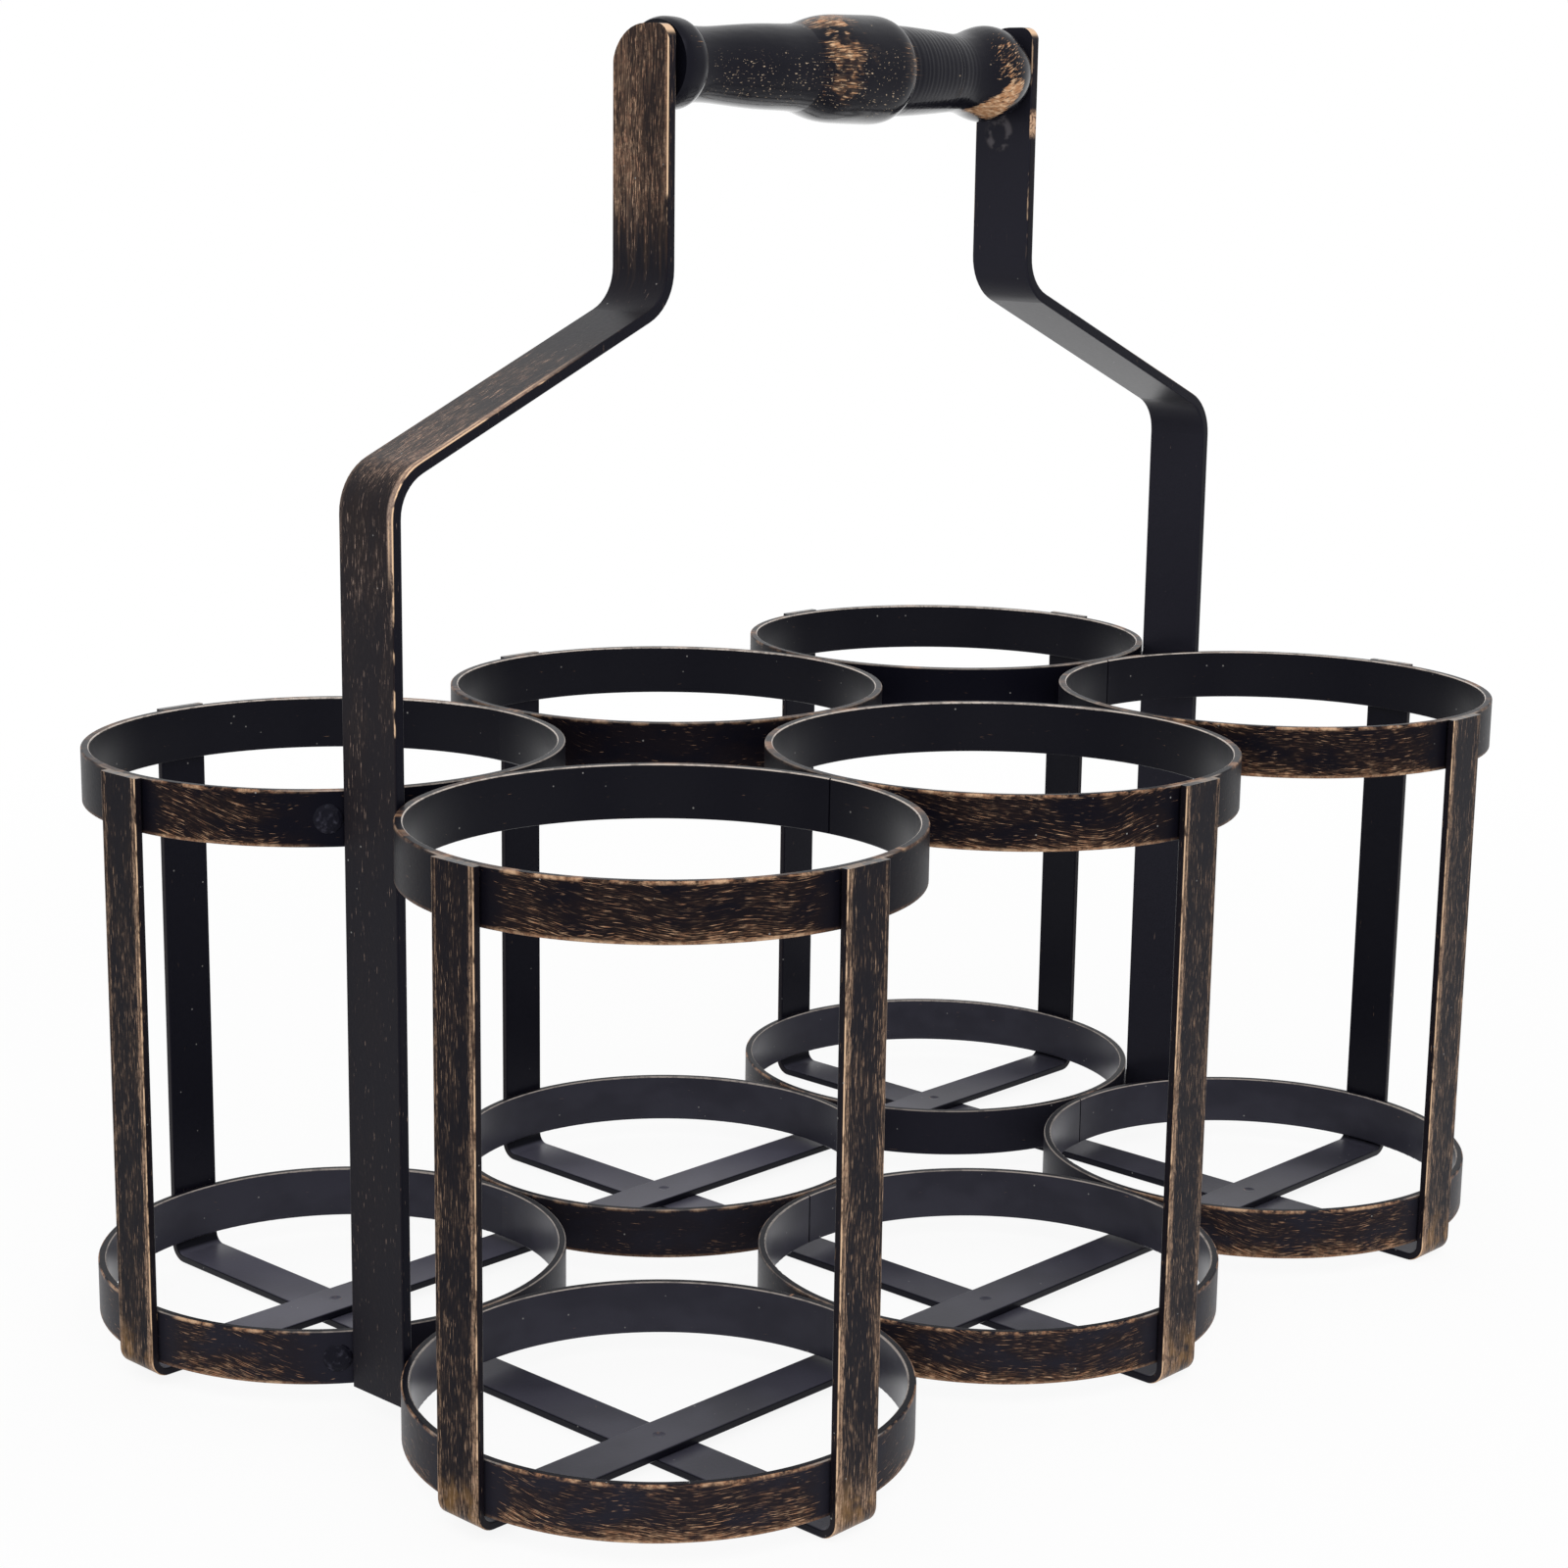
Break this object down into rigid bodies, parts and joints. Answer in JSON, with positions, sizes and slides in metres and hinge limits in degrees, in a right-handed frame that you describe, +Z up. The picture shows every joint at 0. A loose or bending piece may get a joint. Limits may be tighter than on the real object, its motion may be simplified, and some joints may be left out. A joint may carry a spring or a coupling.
{
  "type": "bottle caddy",
  "caption": "Open carrying caddy of strip-steel ring cups in two rows, with crossed strap floors, a bent strap handle and a turned grip that spins on its rod.",
  "frame": {"origin": "on the ground under the middle of the caddy, which is the bottom centre of its bounding box", "axes": "+X along the handle and the rows of three cups, +Y across the two rows, +Z up; the left end is -X and the front row is -Y"},
  "size_m": [0.2676, 0.1794, 0.244],
  "materials": {
    "ring_paint": "satin black with bronze dry-brushed outer faces and edges",
    "strip_paint": "satin black with bronze dry-brushed outer faces and edges",
    "handle_paint": "satin black with bronze dry-brushed outer faces and edges",
    "rod_paint": "satin black",
    "weld_paint": "satin black",
    "grip_lacquer": "glossy black lacquer with rubbed bronze patches"
  },
  "bodies": {
    "caddy": {"ring_bottom_front_left": "ring_paint", "ring_top_front_left": "ring_paint", "ring_bottom_front_mid": "ring_paint", "ring_top_front_mid": "ring_paint", "ring_bottom_front_right": "ring_paint", "ring_top_front_right": "ring_paint", "ring_bottom_back_left": "ring_paint", "ring_top_back_left": "ring_paint", "ring_bottom_back_mid": "ring_paint", "ring_top_back_mid": "ring_paint", "ring_bottom_back_right": "ring_paint", "ring_top_back_right": "ring_paint", "long_strap_front": "strip_paint", "long_strap_back": "strip_paint", "cross_strap_left": "strip_paint", "cross_strap_mid": "strip_paint", "cross_strap_right": "strip_paint", "handle_strap_left": "handle_paint", "handle_welds_left": "weld_paint", "handle_strap_right": "handle_paint", "handle_welds_right": "weld_paint", "handle_rod": "rod_paint", "ring_welds_bottom": "weld_paint", "ring_welds_top": "weld_paint"},
    "grip": {"handle_grip": "grip_lacquer"}
  },
  "joints": [
    {"name": "grip_spin", "type": "hinge", "parent": "caddy", "child": "grip", "pos_m": [0, 0, 0.2339], "axis": [1, 0, 0], "continuous": true}
  ]
}
